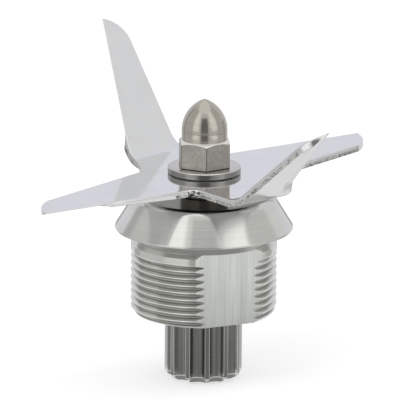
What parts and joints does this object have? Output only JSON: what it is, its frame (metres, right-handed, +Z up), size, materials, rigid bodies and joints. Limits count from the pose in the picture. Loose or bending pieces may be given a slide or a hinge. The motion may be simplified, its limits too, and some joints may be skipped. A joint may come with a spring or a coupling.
{
  "type": "blender blade assembly",
  "caption": "Four-wing bent steel blade clamped by a domed nut on a fluted drive shaft, running in a sealed, flanged and threaded bearing housing.",
  "frame": {"origin": "on the shaft axis, at the underside of the housing flange that seats in the jar", "axes": "+Z up along the shaft towards the nut, +X to the right and +Y away in the pictured view"},
  "size_m": [0.066, 0.0806, 0.0665],
  "materials": {
    "polished_blade_steel": "mirror polished stainless steel",
    "satin_stainless": "fine turned stainless steel",
    "nut_stainless": "satin stainless steel",
    "drive_steel": "machined steel",
    "bearing_steel": "ground bearing steel",
    "shield_steel": "pressed zinc-plated steel",
    "spring_steel": "phosphated spring steel",
    "seal_rubber": "matt black rubber",
    "cage_plastic": "moulded nylon"
  },
  "bodies": {
    "housing": {"bearing_housing": "satin_stainless", "seal_case": "shield_steel", "seal_lip": "seal_rubber", "seal_garter_spring": "spring_steel", "outer_spacer": "bearing_steel", "retaining_ring": "spring_steel", "upper_bearing_outer_race": "bearing_steel", "upper_bearing_top_shield": "shield_steel", "upper_bearing_bottom_shield": "shield_steel", "lower_bearing_outer_race": "bearing_steel", "lower_bearing_top_shield": "shield_steel", "lower_bearing_bottom_shield": "shield_steel"},
    "rotor": {"acorn_nut": "nut_stainless", "blade_washer": "nut_stainless", "blade": "polished_blade_steel", "shaft_sleeve": "drive_steel", "drive_shaft": "drive_steel", "inner_spacer": "bearing_steel", "drive_spline": "drive_steel", "upper_bearing_inner_race": "bearing_steel", "lower_bearing_inner_race": "bearing_steel"},
    "upper_cage": {"upper_bearing_balls": "bearing_steel", "upper_bearing_cage": "cage_plastic"},
    "lower_cage": {"lower_bearing_balls": "bearing_steel", "lower_bearing_cage": "cage_plastic"}
  },
  "joints": [
    {"name": "rotor_spin", "type": "hinge", "parent": "housing", "child": "rotor", "pos_m": [0, 0, 0], "axis": [0, 0, 1], "continuous": true},
    {"name": "upper_cage_spin", "type": "hinge", "parent": "housing", "child": "upper_cage", "pos_m": [0, 0, -0.0035], "axis": [0, 0, 1], "continuous": true},
    {"name": "lower_cage_spin", "type": "hinge", "parent": "housing", "child": "lower_cage", "pos_m": [0, 0, -0.0121], "axis": [0, 0, 1], "continuous": true}
  ],
  "couplings": [
    {"joint": "upper_cage_spin", "follows": "rotor_spin", "ratio": 0.3677},
    {"joint": "lower_cage_spin", "follows": "rotor_spin", "ratio": 0.3677}
  ]
}
